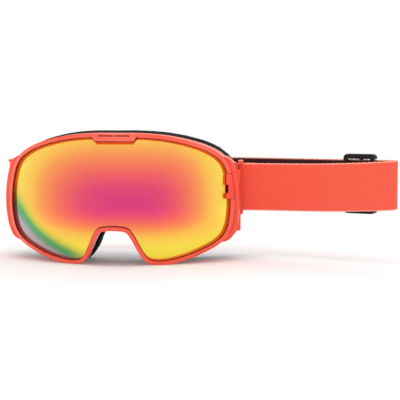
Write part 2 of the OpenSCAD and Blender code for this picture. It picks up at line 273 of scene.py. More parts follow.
@dataclass(frozen=True)
class MirrorCoat(Finish):
    """Vacuum-coated polycarbonate: thin-film layers that drift from magenta to gold.

    The film is thickest over the middle, so its colour follows rings round a point
    beside the nose, and it thins to green and grey at one lower corner.
    """

    middle: tuple[float, float] = (14.5, -3.0)
    reach_up: float = 69.0
    reach_down: float = 32.0
    reach_left: float = 106.0
    reach_right: float = 76.0
    corner_middle: tuple[float, float] = (5.0, 30.0)
    corner_reach: tuple[float, float] = (107.0, 87.0)
    power_across: float = 3.7
    power_tall: float = 2.7
    ring_share: float = 0.9
    wobble_scale: float = 14.0
    wobble_share: float = 0.04
    fringe_from: tuple[float, float] = (0.78, 0.9)
    fringe_x: tuple[float, float] = (-0.012, -0.04)
    fringe_z: tuple[float, float] = (0.022, -0.012)
    film: tuple[tuple[float, str], ...] = (
        (0.03, "D93F7A"), (0.13, "E44B71"), (0.23, "EF6263"), (0.33, "F57B5A"),
        (0.46, "F99E56"), (0.58, "FBC354"), (0.74, "FCDB57"), (0.95, "FAEC54"),
    )
    fringe: tuple[tuple[float, str], ...] = (
        (0.80, "E9CF45"), (0.86, "B9C552"), (0.905, "58AC62"), (0.94, "6FA080"), (0.975, "B4A9B0"),
    )

    def dress(self, tree: bpy.types.NodeTree, shader: bpy.types.Node) -> None:
        """Colour the film by rings, with the corner's fringe over them.

        Args:
            tree: The material's node tree.
            shader: Its shader.
        """
        place = add_node(tree, "ShaderNodeTexCoord").outputs["Object"]
        axes = add_node(tree, "ShaderNodeSeparateXYZ", {"Vector": place})
        wobble = add_node(
            tree, "ShaderNodeTexNoise", {"Vector": place, "Scale": self.wobble_scale, "Detail": 1.0}
        )
        sums = {"x": axes.outputs["X"], "z": axes.outputs["Z"], "wobble": wobble.outputs["Fac"]}
        for name, operation, a, b in (
            ("run", "SUBTRACT", "x", self.middle[0] * MM),
            ("run_right", "MAXIMUM", "run", 0.0),
            ("run_left", "MINIMUM", "run", 0.0),
            ("right", "DIVIDE", "run_right", self.reach_right * MM),
            ("left", "DIVIDE", "run_left", self.reach_left * MM),
            ("across", "ADD", "right", "left"),
            ("rise", "SUBTRACT", "z", self.middle[1] * MM),
            ("rise_up", "MAXIMUM", "rise", 0.0),
            ("rise_down", "MINIMUM", "rise", 0.0),
            ("up", "DIVIDE", "rise_up", self.reach_up * MM),
            ("down", "DIVIDE", "rise_down", self.reach_down * MM),
            ("tall", "ADD", "up", "down"),
            ("across_size", "ABSOLUTE", "across", 0.0),
            ("tall_size", "ABSOLUTE", "tall", 0.0),
            ("across_power", "POWER", "across_size", self.power_across),
            ("tall_power", "POWER", "tall_size", self.power_tall),
            ("both", "ADD", "across_power", "tall_power"),
            ("plain_ring", "SQRT", "both", 0.0),
            ("wobble_middled", "SUBTRACT", "wobble", 0.5),
            ("wobble_small", "MULTIPLY", "wobble_middled", self.wobble_share),
            ("wobbled", "ADD", "plain_ring", "wobble_small"),
            ("ring", "MULTIPLY", "wobbled", self.ring_share),
            ("corner_run", "SUBTRACT", "x", self.corner_middle[0] * MM),
            ("corner_rise", "SUBTRACT", "z", self.corner_middle[1] * MM),
            ("corner_x", "DIVIDE", "corner_run", self.corner_reach[0] * MM),
            ("corner_z", "DIVIDE", "corner_rise", self.corner_reach[1] * MM),
            ("corner_xx", "MULTIPLY", "corner_x", "corner_x"),
            ("corner_zz", "MULTIPLY", "corner_z", "corner_z"),
            ("corner_both", "ADD", "corner_xx", "corner_zz"),
            ("edge", "SQRT", "corner_both", 0.0),
        ):
            both = {0: sums.get(a, a), 1: sums.get(b, b)}
            sums[name] = add_node(tree, "ShaderNodeMath", both, operation=operation).outputs[0]
        film = add_node(tree, "ShaderNodeValToRGB", {"Fac": sums["ring"]}, stops=self.film)
        fringe = add_node(tree, "ShaderNodeValToRGB", {"Fac": sums["edge"]}, stops=self.fringe)
        masks = []
        for value, (start, end) in (
            ("edge", self.fringe_from),
            ("x", self.fringe_x),
            ("z", self.fringe_z),
        ):
            ends = {"Value": sums[value], "From Min": start, "From Max": end}
            mask = add_node(tree, "ShaderNodeMapRange", ends, interpolation_type="SMOOTHSTEP")
            masks.append(mask.outputs[0])
        share = masks[0]
        for mask in masks[1:]:
            both = {0: share, 1: mask}
            share = add_node(tree, "ShaderNodeMath", both, operation="MULTIPLY").outputs[0]
        colour = add_node(
            tree,
            "ShaderNodeMix",
            {0: share, 6: film.outputs["Color"], 7: fringe.outputs["Color"]},
            data_type="RGBA",
        )
        tree.links.new(colour.outputs[2], shader.inputs["Base Color"])
        shader.inputs["Metallic"].default_value = 0.88
        shader.inputs["Roughness"].default_value = 0.16
        shader.inputs["Coat Weight"].default_value = 0.08
        shader.inputs["Coat Roughness"].default_value = 0.04


@dataclass(frozen=True)
class TintedSheet(Finish):
    """Cast polymer sheet: clear, tinted through its thickness, polished on both faces."""

    colour: str = "B5643C"
    edge: str = "7A3A2C"

    def dress(self, tree: bpy.types.NodeTree, shader: bpy.types.Node) -> None:
        """Let light through, with a deeper tint towards grazing angles.

        Args:
            tree: The material's node tree.
            shader: Its shader.
        """
        facing = add_node(tree, "ShaderNodeLayerWeight", {"Blend": 0.35})
        tint = add_node(
            tree,
            "ShaderNodeValToRGB",
            {"Fac": facing.outputs["Facing"]},
            stops=((0.15, self.colour), (0.8, self.edge)),
        )
        tree.links.new(tint.outputs["Color"], shader.inputs["Base Color"])
        shader.inputs["Roughness"].default_value = 0.06
        shader.inputs["IOR"].default_value = 1.49
        shader.inputs["Alpha"].default_value = 0.45
        shader.inputs["Coat Weight"].default_value = 0.4


@dataclass(frozen=True)
class OpenCellFoam(Finish):
    """Reticulated or face-grade polyurethane foam: matt, with open pores."""

    colour: str = "2B2B2E"
    pore_shade: str = "0B0B0C"
    pore_mm: float = 0.9
    depth_mm: float = 0.35

    def dress(self, tree: bpy.types.NodeTree, shader: bpy.types.Node) -> None:
        """Painted shade in the pores between lighter struts, at two sizes.

        Args:
            tree: The material's node tree.
            shader: Its shader.
        """
        place = add_node(tree, "ShaderNodeTexCoord").outputs["Object"]
        cells = add_node(
            tree, "ShaderNodeTexVoronoi", {"Vector": place, "Scale": 1 / (self.pore_mm * MM)}
        )
        fine = add_node(
            tree,
            "ShaderNodeTexNoise",
            {"Vector": place, "Scale": 2 / (self.pore_mm * MM), "Detail": 4.0},
        )
        mixed = add_node(
            tree,
            "ShaderNodeMath",
            {0: cells.outputs["Distance"], 1: fine.outputs["Fac"]},
            operation="MULTIPLY",
        )
        # The pores' dark colour is painted shade, for the light that the open cells swallow
        shade = add_node(
            tree,
            "ShaderNodeValToRGB",
            {"Fac": mixed.outputs[0]},
            stops=((0.06, self.pore_shade), (0.34, self.colour)),
        )
        tree.links.new(shade.outputs["Color"], shader.inputs["Base Color"])
        shader.inputs["Roughness"].default_value = 0.95
        shader.inputs["Specular IOR Level"].default_value = 0.25
        self.relief(tree, shader, mixed.outputs[0], self.depth_mm)


@dataclass(frozen=True)
class BrushedFleece(Finish):
    """Knitted microfleece with a brushed pile: soft clumps and a pale sheen."""

    colour: str = "26262A"
    deep: str = "0E0E10"
    clump_mm: float = 1.6

    def dress(self, tree: bpy.types.NodeTree, shader: bpy.types.Node) -> None:
        """Clumps of pile over a knit, lit by sheen.

        Args:
            tree: The material's node tree.
            shader: Its shader.
        """
        place = add_node(tree, "ShaderNodeTexCoord").outputs["Object"]
        pile = add_node(
            tree,
            "ShaderNodeTexNoise",
            {"Vector": place, "Scale": 1 / (self.clump_mm * MM), "Detail": 6.0, "Roughness": 0.75},
        )
        shade = add_node(
            tree,
            "ShaderNodeValToRGB",
            {"Fac": pile.outputs["Fac"]},
            stops=((0.36, self.deep), (0.66, self.colour)),
        )
        tree.links.new(shade.outputs["Color"], shader.inputs["Base Color"])
        shader.inputs["Roughness"].default_value = 1.0
        shader.inputs["Specular IOR Level"].default_value = 0.15
        shader.inputs["Sheen Weight"].default_value = 0.6
        shader.inputs["Sheen Roughness"].default_value = 0.45
        shader.inputs["Sheen Tint"].default_value = linear("8E8E96")
        self.relief(tree, shader, pile.outputs["Fac"], 0.5)


@dataclass(frozen=True)
class WovenElastic(Finish):
    """Jacquard elastic webbing: fine ribs across the strap, cords along it, dyed coral.

    The UV map holds real lengths in metres: along the strap, then across it.
    """

    colour: str = "FF654E"
    deep: str = "E8482F"
    # The pale colour is a painted highlight along both edges of the webbing
    pale: str = "FFB09C"
    rib_mm: float = 1.3
    cord_mm: float = 0.9
    width_mm: float = 38.0
    edge_mm: float = 1.1

    def dress(self, tree: bpy.types.NodeTree, shader: bpy.types.Node) -> None:
        """Ribs and cords from the UV map, with a pale painted highlight along both edges.

        Args:
            tree: The material's node tree.
            shader: Its shader.
        """
        place = add_node(tree, "ShaderNodeUVMap", uv_map="strap").outputs["UV"]
        axes = add_node(tree, "ShaderNodeSeparateXYZ", {"Vector": place})
        sums = {"along": axes.outputs["X"], "across": axes.outputs["Y"]}
        # The real pitch is about half this, too fine to show
        for name, operation, a, b in (
            ("ribs", "MULTIPLY", "along", 2 * math.pi / (self.rib_mm * MM)),
            ("cords", "MULTIPLY", "across", 2 * math.pi / (self.cord_mm * MM)),
            ("rib_wave", "SINE", "ribs", 0.0),
            ("cord_wave", "SINE", "cords", 0.0),
            ("weave", "MULTIPLY", "rib_wave", "cord_wave"),
            ("off_middle", "ABSOLUTE", "across", 0.0),
        ):
            both = {0: sums.get(a, a), 1: sums.get(b, b)}
            sums[name] = add_node(tree, "ShaderNodeMath", both, operation=operation).outputs[0]
        height = add_node(
            tree, "ShaderNodeMapRange", {"Value": sums["weave"], "From Min": -1.0, "From Max": 1.0}
        )
        fibre = add_node(tree, "ShaderNodeTexNoise", {"Vector": place, "Scale": 900.0, "Detail": 3.0})
        mixed = add_node(
            tree,
            "ShaderNodeMath",
            {0: height.outputs[0], 1: fibre.outputs["Fac"]},
            operation="MULTIPLY",
        )
        shade = add_node(
            tree,
            "ShaderNodeValToRGB",
            {"Fac": mixed.outputs[0]},
            stops=((0.0, self.deep), (0.32, self.colour)),
        )
        # Painted highlight: both edges are mixed towards the pale colour, for the light caught along the
        # strap's edges
        highlight_share = add_node(
            tree,
            "ShaderNodeMapRange",
            {
                "Value": sums["off_middle"],
                "From Min": (self.width_mm / 2 - self.edge_mm) * MM,
                "From Max": (self.width_mm / 2 - self.edge_mm / 3) * MM,
                "To Max": 0.75,
            },
        )
        colour = add_node(
            tree,
            "ShaderNodeMix",
            {0: highlight_share.outputs[0], 6: shade.outputs["Color"], 7: linear(self.pale)},
            data_type="RGBA",
        )
        tree.links.new(colour.outputs[2], shader.inputs["Base Color"])
        shader.inputs["Roughness"].default_value = 0.8
        shader.inputs["Specular IOR Level"].default_value = 0.3
        shader.inputs["Sheen Weight"].default_value = 0.15
        self.relief(tree, shader, height.outputs[0], 0.16, 0.8)


@dataclass(frozen=True)
class TurnedSteel(Finish):
    """Turned stainless pin stock: bright, with fine rings from the lathe."""

    colour: str = "C4C6C9"

    def dress(self, tree: bpy.types.NodeTree, shader: bpy.types.Node) -> None:
        """Fine streaks in the gloss.

        Args:
            tree: The material's node tree.
            shader: Its shader.
        """
        place = add_node(tree, "ShaderNodeTexCoord").outputs["Object"]
        wave = {"Vector": place, "Scale": 900.0, "Distortion": 2.0}
        rings = add_node(tree, "ShaderNodeTexWave", wave, bands_direction="Z")
        gloss = add_node(
            tree, "ShaderNodeMapRange", {"Value": rings.outputs["Fac"], "To Min": 0.22, "To Max": 0.38}
        )
        tree.links.new(gloss.outputs[0], shader.inputs["Roughness"])
        shader.inputs["Base Color"].default_value = linear(self.colour)
        shader.inputs["Metallic"].default_value = 1.0
        self.relief(tree, shader, rings.outputs["Fac"], 0.01)


# Moulded thermoplastic reads as one flat, saturated colour with a wide, soft highlight; black
# parts keep their highlight dull. Foams swallow light between their struts, and fleece shows a
# pale edge. The mirrored coat is the one sharp reflection, and the webbing is matt with a fine rib
CORAL_SHELL = MouldedPlastic("coral_moulded_tpu")
CORAL_TRIM = MouldedPlastic("coral_moulded_trim", colour="FF644A", deep="F75138", roughness=0.3)
CORAL_WING = MouldedPlastic("coral_moulded_outrigger", colour="FF553B", deep="F04329", roughness=0.36)
BLACK_TPU = MouldedPlastic(
    "black_soft_tpu", colour="151315", deep="0C0B0C", roughness=0.55, grain_depth_mm=0.03, coat=0.0,
    shine=0.2,
)
BLACK_ACETAL = MouldedPlastic(
    "black_moulded_acetal", colour="151414", deep="0D0C0C", roughness=0.42, grain_depth_mm=0.02, coat=0.0,
    shine=0.25,
)
SILICONE = MouldedPlastic(
    "printed_silicone", colour="C24A38", deep="AE3D2D", roughness=0.3, grain_depth_mm=0.01, coat=0.3
)
MIRROR = MirrorCoat("mirror_coated_polycarbonate")
LENS_BACK = TintedSheet("tinted_polycarbonate_back", colour="8C4630", edge="5A2A1E")
CLEAR_SHEET = TintedSheet("clear_acetate_sheet")
VENT_FOAM = OpenCellFoam("reticulated_vent_foam", colour="141112", pore_shade="040404", pore_mm=1.1)
BASE_FOAM = OpenCellFoam("firm_face_foam", colour="151315", pore_shade="070708", pore_mm=0.7, depth_mm=0.2)
MIDDLE_FOAM = OpenCellFoam("soft_face_foam", colour="2C2C2F", pore_shade="131315", pore_mm=0.8, depth_mm=0.2)
# Painted shade: a dark red colour for strips put where there is only shade, in the groove round the lens
# and inside the brow plate's slots
PAINTED_SHADE_RED = MouldedPlastic(
    "painted_shade_dark_red", colour="8A2416", deep="6E170D", roughness=0.5, grain_depth_mm=0.01, coat=0.0
)
SPACER_FOAM = OpenCellFoam("lens_spacer_foam", colour="232325", pore_shade="0D0D0E", pore_mm=0.6, depth_mm=0.1)
FLEECE = BrushedFleece("brushed_microfleece")
ELASTIC = WovenElastic("woven_elastic_webbing")
# Painted shade: a dark maroon inside face, for the shadow between the strap's folded layers
ELASTIC_INSIDE_SHADE = WovenElastic("woven_elastic_inside_painted_shade", colour="4A0C08", deep="1E0302", pale="E9A090")
THREAD = MouldedPlastic(
    "bonded_thread", colour="FF7A62", deep="E9563F", roughness=0.6, grain_mm=0.3, grain_depth_mm=0.05,
    coat=0.0,
)
STEEL = TurnedSteel("turned_steel")


# ---------------------------------------------------------------- meshes


def curve_through(points: Sequence[Sequence[float]], steps: int, closed: bool = False) -> Loop:
    """Run a smooth curve through points.

    Args:
        points: Points in the plane or in space.
        steps: Places from one point to the next.
        closed: Whether the curve comes back to its start.

    Returns:
        The places along the curve.
    """
    knots = [Vector((*p, *([0.0] * (3 - len(p))))) for p in points]
    count = len(knots)
    spans = count if closed else count - 1
    made: Loop = []
    for i in range(spans):
        if closed:
            a, b, c, d = (knots[(i + k) % count] for k in (-1, 0, 1, 2))
        else:
            a, b, c, d = (knots[min(max(i + k, 0), count - 1)] for k in (-1, 0, 1, 2))
        for step in range(steps):
            t = step / steps
            square = 2 * a - 5 * b + 4 * c - d
            cube = 3 * b - a - 3 * c + d
            made.append(0.5 * (2 * b + (c - a) * t + square * t**2 + cube * t**3))
    if not closed:
        made.append(knots[-1])
    return made


def evenly(path: Loop, spacing: float, closed: bool = False) -> Loop:
    """Space places evenly along a path.

    Args:
        path: The path's places.
        spacing: About how far apart the new places are.
        closed: Whether the path comes back to its start.

    Returns:
        The new places.
    """
    line = path + [path[0]] if closed else path
    reach = [0.0]
    for a, b in zip(line, line[1:]):
        reach.append(reach[-1] + (b - a).length)
    count = max(2, round(reach[-1] / spacing))
    made: Loop = []
    k = 0
    for i in range(count if closed else count + 1):
        s = reach[-1] * i / count
        while k < len(line) - 2 and reach[k + 1] < s:
            k += 1
        span = max(reach[k + 1] - reach[k], 1e-9)
        made.append(line[k].lerp(line[k + 1], min(max((s - reach[k]) / span, 0.0), 1.0)))
    return made


class Skin:
    """A mesh in the making, grown ring by ring with extrusions."""

    def __init__(self, ring: Loop) -> None:
        """Start from one closed ring.

        Args:
            ring: The ring's places, in millimetres.
        """
        self.mesh = bmesh.new()
        self.last = [self.mesh.verts.new(p * MM) for p in ring]
        pairs = zip(self.last, self.last[1:] + self.last[:1])
        self.edges = [self.mesh.edges.new(pair) for pair in pairs]
        self.first_edges = list(self.edges)
        self.marks: dict[bmesh.types.BMVert, tuple[float, float]] = {}

    @classmethod
    def through(cls, rings: Sequence[Loop]) -> "Skin":
        """Grow a skin through rings.

        Args:
            rings: Rings of the same number of places.

        Returns:
            The skin, open at its first and last ring.
        """
        made = cls(rings[0])
        for ring in rings[1:]:
            made.grow(ring)
        return made

    def mark(self, values: Iterable[tuple[float, float]]) -> None:
        """Note a pair of UV lengths on each place of the last ring."""
        for vert, value in zip(self.last, values):
            self.marks[vert] = value

    def grow(self, ring: Loop) -> None:
        """Extrude the last ring to new places.

        Args:
            ring: As many places as the last ring has.
        """
        made = bmesh.ops.extrude_edge_only(self.mesh, edges=self.edges)["geom"]
        fresh = {g for g in made if isinstance(g, bmesh.types.BMVert)}
        edges = {g for g in made if isinstance(g, bmesh.types.BMEdge)}
        ring_now = []
        for old in self.last:
            ring_now.append(next(e.other_vert(old) for e in old.link_edges if e.other_vert(old) in fresh))
        self.edges = [e for e in edges if e.verts[0] in fresh and e.verts[1] in fresh]
        for vert, place in zip(ring_now, ring):
            vert.co = place * MM
        self.last = ring_now

    def join_ends(self) -> None:
        """Bridge the last ring to the first."""
        bmesh.ops.bridge_loops(self.mesh, edges=self.edges + self.first_edges)

    def cap_ends(self) -> None:
        """Close the first and the last ring with faces."""
        bmesh.ops.contextual_create(self.mesh, geom=self.first_edges)
        bmesh.ops.contextual_create(self.mesh, geom=self.edges)

    def close_poles(self) -> None:
        """Merge rings that were drawn to a point."""
        bmesh.ops.remove_doubles(self.mesh, verts=self.mesh.verts, dist=1e-7)

    def uv(self, name: str) -> None:
        """Write the noted lengths to a UV map."""
        layer = self.mesh.loops.layers.uv.new(name)
        for face in self.mesh.faces:
            for loop in face.loops:
                loop[layer].uv = self.marks.get(loop.vert, (0.0, 0.0))


def to_object(
    mesh: bmesh.types.BMesh, name: str, finishes: Sequence[Finish], sharp_deg: float = 40.0
) -> bpy.types.Object:
    """Turn a finished mesh into an object at the origin.

    Args:
        mesh: The mesh, which is freed.
        name: The piece's name.
        finishes: Its materials, by index.
        sharp_deg: Edges that fold more than this stay sharp.

    Returns:
        The new object.
    """
    bmesh.ops.recalc_face_normals(mesh, faces=mesh.faces)
    data = bpy.data.meshes.new(name)
    mesh.to_mesh(data)
    mesh.free()
    for finish in finishes:
        data.materials.append(finish.material())
    for polygon in data.polygons:
        polygon.use_smooth = True
    data.set_sharp_from_angle(angle=math.radians(sharp_deg))
    made = bpy.data.objects.new(name, data)
    bpy.context.scene.collection.objects.link(made)
    return made


def seat(
    piece: bpy.types.Object, body: Body, nodes: Sequence[str] = ()
) -> bpy.types.Object:
    """Put a piece on its body and hide the nodes that it stands for.

    Args:
        piece: The piece.
        body: The body that it rides on.
        nodes: The construction nodes that it stands for.

    Returns:
        The piece.
    """
    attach(piece, body.value)
    if nodes:
        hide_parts(*nodes)
    LOG.info("%s: %d faces on %s", piece.name, len(piece.data.polygons), body.value)
    return piece


def merged_copy(node: str) -> bmesh.types.BMesh:
    """Copy a construction node's mesh, with its triangles joined and its flat areas merged.

    Args:
        node: The node.

    Returns:
        The new mesh.
    """
    mesh = bmesh.new()
    mesh.from_mesh(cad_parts[node].data)
    bmesh.ops.remove_doubles(mesh, verts=mesh.verts, dist=2e-6)
    bmesh.ops.dissolve_degenerate(mesh, edges=mesh.edges, dist=2e-6)
    bmesh.ops.dissolve_limit(mesh, angle_limit=math.radians(0.6), verts=mesh.verts, edges=mesh.edges)
    return mesh


def sharp_edges(mesh: bmesh.types.BMesh) -> list[bmesh.types.BMEdge]:
    """Find the edges that a mould would round.

    Args:
        mesh: The mesh.

    Returns:
        Its edges that fold more than SHARP_DEG.
    """
    fold = math.radians(SHARP_DEG)
    return [e for e in mesh.edges if e.is_manifold and e.calc_face_angle() > fold]


def round_edges(
    mesh: bmesh.types.BMesh, edges: Sequence[bmesh.types.BMEdge], radius: float, segments: int
) -> None:
    """Bevel edges to a rounding.

    Args:
        mesh: The mesh.
        edges: The edges.
        radius: Radius of the rounding, in millimetres.
        segments: Steps of the rounding.
    """
    bmesh.ops.bevel(
        mesh,
        geom=edges,
        offset=radius * MM,
        offset_type="OFFSET",
        segments=segments,
        profile=0.5,
        affect="EDGES",
        clamp_overlap=True,
        material=-1,
    )


def rounded_copy(
    node: str, name: str, finish: Finish, radius: float, segments: int = 3
) -> bpy.types.Object:
    """Copy a construction node and round its edges as a mould does.

    Args:
        node: The node.
        name: The piece's name.
        finish: Its material.
        radius: Radius of the rounding.
        segments: Steps of the rounding.

    Returns:
        The new object.
    """
    mesh = merged_copy(node)
    round_edges(mesh, sharp_edges(mesh), radius, segments)
    piece = to_object(mesh, name, [finish], 50.0)
    piece.modifiers.new("even_shading", "WEIGHTED_NORMAL").keep_sharp = True
    return piece


# ---------------------------------------------------------------- the goggles' own curves


@dataclass(frozen=True)
class LensShape:
    """The front view's outline and the sphere that it lies on."""

    radius: float = 116.0
    half: tuple[tuple[float, float], ...] = (
        (0, 49.2), (20, 49), (40, 47), (60, 42), (74, 35.6), (82.5, 27.5), (86.3, 14.5),
        (87.7, 0), (87.2, -13), (84.6, -24.5), (79, -31.8), (69, -37.6), (55, -43.2),
        (41, -46.6), (31.5, -46.8), (25.6, -43.8), (20.6, -35), (15.6, -25), (9, -19.6),
    )
    pole: tuple[float, float] = (0.0, 18.0)
    front_y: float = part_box("outer_lens")[0].y / MM

    def place(self, x: float, z: float, level: float) -> Vector:
        """Return the place over a point of the front view, at a level of the sphere."""
        radius = self.radius + level
        return Vector((x, self.front_y + self.radius - math.sqrt(radius**2 - x**2 - z**2), z))

    def outline(self, spacing: float) -> Loop:
        """Return the closed outline in the front view, evenly spaced, as x and y."""
        mirrored = [(-x, z) for x, z in self.half[:0:-1]]
        return evenly(curve_through([*self.half, *mirrored], 8, closed=True), spacing, closed=True)


# ---------------------------------------------------------------- sub-assemblies


@dataclass
class LensCassette:
    """The mirrored lens, the foam spacer and the clear inner lens."""

    shape: LensShape
    thickness: float = 1.5
    bevel: float = 0.3
    spacing: float = 0.7
    rings: int = 22
    notch_depth: float = 3.2
    notch_ramp: float = 1.2
    notch: tuple[float, float] = (0.0, 20.4)
    trim_half: tuple[float, float] = (18.9, 16.1)
    trim_drop: float = 3.0
    # Section of the painted groove shade round the lens: outward offset from the lens edge, and level
    groove_shade_section: tuple[tuple[float, float], ...] = (
        (-0.35, -0.5), (-0.35, 0.1), (-0.15, 0.22), (0.1, 0.2), (0.3, -0.5),
    )

    def edge(self) -> Loop:
        """Return the lens's own outline, with its notches for the brow trim and the lever.

        Returns:
            The places, as x and z of the front view.
        """
        top = self.shape.half[0][1]
        side = max(x for x, _ in self.shape.half)
        made = []
        for p in self.shape.outline(self.spacing):
            x, z = p.x, p.y
            if z > 0 and abs(x) < self.trim_half[0]:
                ramp = min(1.0, (self.trim_half[0] - abs(x)) / (self.trim_half[0] - self.trim_half[1]))
                z = min(z, top - self.trim_drop * ramp)
            if x > 0 and self.notch[0] < z < self.notch[1]:
                inside = min(z - self.notch[0], self.notch[1] - z)
                ramp = min(1.0, inside / self.notch_ramp)
                x = min(x, side - self.notch_depth * ramp)
            made.append(Vector((x, z, 0)))
        return made

    def outer_lens(self) -> bpy.types.Object:
        """Grow the lens from its pole over its front, round its edge and back to the pole.

        Returns:
            The new object.
        """
        edge = self.edge()
        pole = Vector((*self.shape.pole, 0))

        def ring(share: float, level: float, inset: float = 0.0) -> Loop:
            """Make one ring between the pole and the edge.

            Args:
                share: Its place from the pole, 0, to the edge, 1.
                level: Its level of the sphere.
                inset: How far it lies inside that place.

            Returns:
                The ring.
            """
            made = []
            for p in edge:
                out = p - pole
                q = pole + out * share - out.normalized() * inset
                made.append(self.shape.place(q.x, q.y, level))
            return made

        shares = [i / self.rings for i in range(self.rings)]
        skin = Skin(ring(0.0, 0.0))
        for share in shares[1:]:
            skin.grow(ring(share, 0.0))
        profile = [
            (0.0, self.bevel * 1.6), (0.0, self.bevel), (-self.bevel * 0.3, self.bevel * 0.3),
            (-self.bevel, 0.0), (-self.thickness + self.bevel, 0.0),
            (-self.thickness, self.bevel),
        ]
        for level, inset in profile:
            skin.grow(ring(1.0, level, inset))
        for share in reversed(shares):
            skin.grow(ring(share, -self.thickness))
        skin.close_poles()
        skin.mesh.faces.ensure_lookup_table()
        for face in skin.mesh.faces:
            middle = face.calc_center_median() / MM
            front = self.shape.place(middle.x, middle.z, -self.thickness * 0.75).y
            face.material_index = 1 if middle.y > front else 0
        return to_object(skin.mesh, "mirror_lens", [MIRROR, LENS_BACK])

    def groove_shade(self) -> bpy.types.Object:
        """Lay a thin dark red strip of painted shade, for the shaded groove between the lens and the rim.

        Returns:
            The new object.
        """
        edge = self.edge()
        pole = Vector((*self.shape.pole, 0))
        rings = []
        for out, level in self.groove_shade_section:
            moved = [p + (p - pole).normalized() * out for p in edge]
            rings.append([self.shape.place(q.x, q.y, level) for q in moved])
        skin = Skin.through(rings)
        skin.join_ends()
        return to_object(skin.mesh, "lens_groove_painted_shade", [PAINTED_SHADE_RED])

    def build(self) -> None:
        """Make the cassette's four pieces."""
        seat(self.outer_lens(), Body.LENS, ["outer_lens"])
        # The dark red strip round the lens is painted shade for the groove between lens and rim
        seat(self.groove_shade(), Body.LENS)
        spacer = rounded_copy("lens_spacer", "spacer_foam", SPACER_FOAM, 0.4)
        seat(spacer, Body.LENS, ["lens_spacer"])
        clear = rounded_copy("inner_lens", "clear_lens", CLEAR_SHEET, 0.15, 1)
        seat(clear, Body.LENS, ["inner_lens"])


@dataclass
class Shell:
    """The coral rim with its trim and lever, and the soft frame behind it."""

    shape: LensShape
    rim_radius: float = 0.7
    guard_from: float = 3.5
    guard_to: float = 6.9
    guard_low: float = -32.0
    guard_high: float = 31.0
    guard_back: float = 2.8
    guard_round: float = 0.9
    guard_run_out: float = 7.0
    guard_end: float = 0.15
    guard_level: float = 0.9
    slot_z: tuple[float, float] = (50.0, 51.3)
    slot_levels: tuple[float, float] = (3.25, 2.8)
    slot_half: int = 12
    trim_radius: float = 0.45
    lever_radius: float = 0.4

    def guard(self, hand: int) -> bpy.types.Object:
        """Sweep the rim's side guard, which hides the hinge from the front.

        Args:
            hand: 1 for the strap's side, -1 for the other.

        Returns:
            The new object.
        """
        line = [
            p for p in self.shape.outline(1.0) if p.x > 60 and self.guard_low < p.y < self.guard_high
        ]
        line.sort(key=lambda p: p.y)
        rings = []
        for i, p in enumerate(line):
            ahead = (line[min(i + 1, len(line) - 1)] - line[max(i - 1, 0)]).normalized()
            out = Vector((ahead.y, -ahead.x, 0))
            # Both ends run out into the rim over a few millimetres
            ends = min(min(i, len(line) - 1 - i) / self.guard_run_out, 1.0)
            swell = self.guard_end + (1 - self.guard_end) * math.sin(ends * math.pi / 2)
            full = self.guard_from + (self.guard_to - self.guard_from) * swell
            near = p + out * self.guard_from
            far = p + out * full
            front = self.shape.place(near.x, near.y, self.guard_level).y
            bend = min(self.guard_round, (full - self.guard_from) * 0.6)
            profile = [(near, front), ((near + far) / 2, front + 0.05)]
            for turn_deg in (0, 30, 60, 90):
                a = math.radians(turn_deg)
                profile.append((far - out * bend * (1 - math.sin(a)), front + bend * (1 - math.cos(a))))
            profile += [
                (far, (front + self.guard_back) / 2), (far, self.guard_back), (near, self.guard_back),
            ]
            rings.append([Vector((hand * q.x, y, q.y)) for q, y in profile])
        skin = Skin.through(rings)
        skin.cap_ends()
        name = "side_guard_right" if hand > 0 else "side_guard_left"
        return to_object(skin.mesh, name, [CORAL_WING], 50.0)

    def slot_painted_shade(self) -> bpy.types.Object:
        """Sweep a dark red strip of painted shade, seen through the brow plate's two slots where there is
        only shade.

        Returns:
            The new object.
        """
        low, high = self.slot_z
        front, back = self.slot_levels
        corners = ((low, front), (high, front), (high, back), (low, back))
        reach = self.slot_half
        rings = [
            [self.shape.place(x, z, level) for z, level in corners] for x in range(-reach, reach + 1)
        ]
        skin = Skin.through(rings)
        skin.cap_ends()
        return to_object(skin.mesh, "slot_painted_shade", [PAINTED_SHADE_RED])

    def build(self) -> None:
        """Make the moulded pieces."""
        # Painted shade inside the brow plate's two slots
        seat(self.slot_painted_shade(), Body.FRAME)
        for hand in (1, -1):
            seat(self.guard(hand), Body.FRAME)
        rim = rounded_copy("outer_frame", "rim", CORAL_SHELL, self.rim_radius)
        seat(rim, Body.FRAME, ["outer_frame"])
        plate = rounded_copy("brow_trim", "brow_plate", CORAL_TRIM, self.trim_radius)
        seat(plate, Body.FRAME, ["brow_trim"])
        lever = rounded_copy("release_lever", "lens_lever", CORAL_WING, self.lever_radius)
        seat(lever, Body.LEVER, ["release_lever"])
        soft = rounded_copy("inner_frame", "soft_frame", BLACK_TPU, 0.35, 2)
        seat(soft, Body.FRAME, ["inner_frame"])
        for node in ("lever_pin", "lever_spring", "outrigger_pin_left", "outrigger_pin_right"):
            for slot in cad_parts[node].material_slots:
                slot.material = STEEL.material()


@dataclass
class Outriggers:
    """The two wings that carry the strap."""

    radius: float = 0.55

    def build(self) -> None:
        """Make both wings."""
        for side, body in (("left", Body.LEFT), ("right", Body.RIGHT)):
            wing = rounded_copy(f"outrigger_{side}", f"wing_{side}", CORAL_WING, self.radius)
            seat(wing, body, [f"outrigger_{side}"])


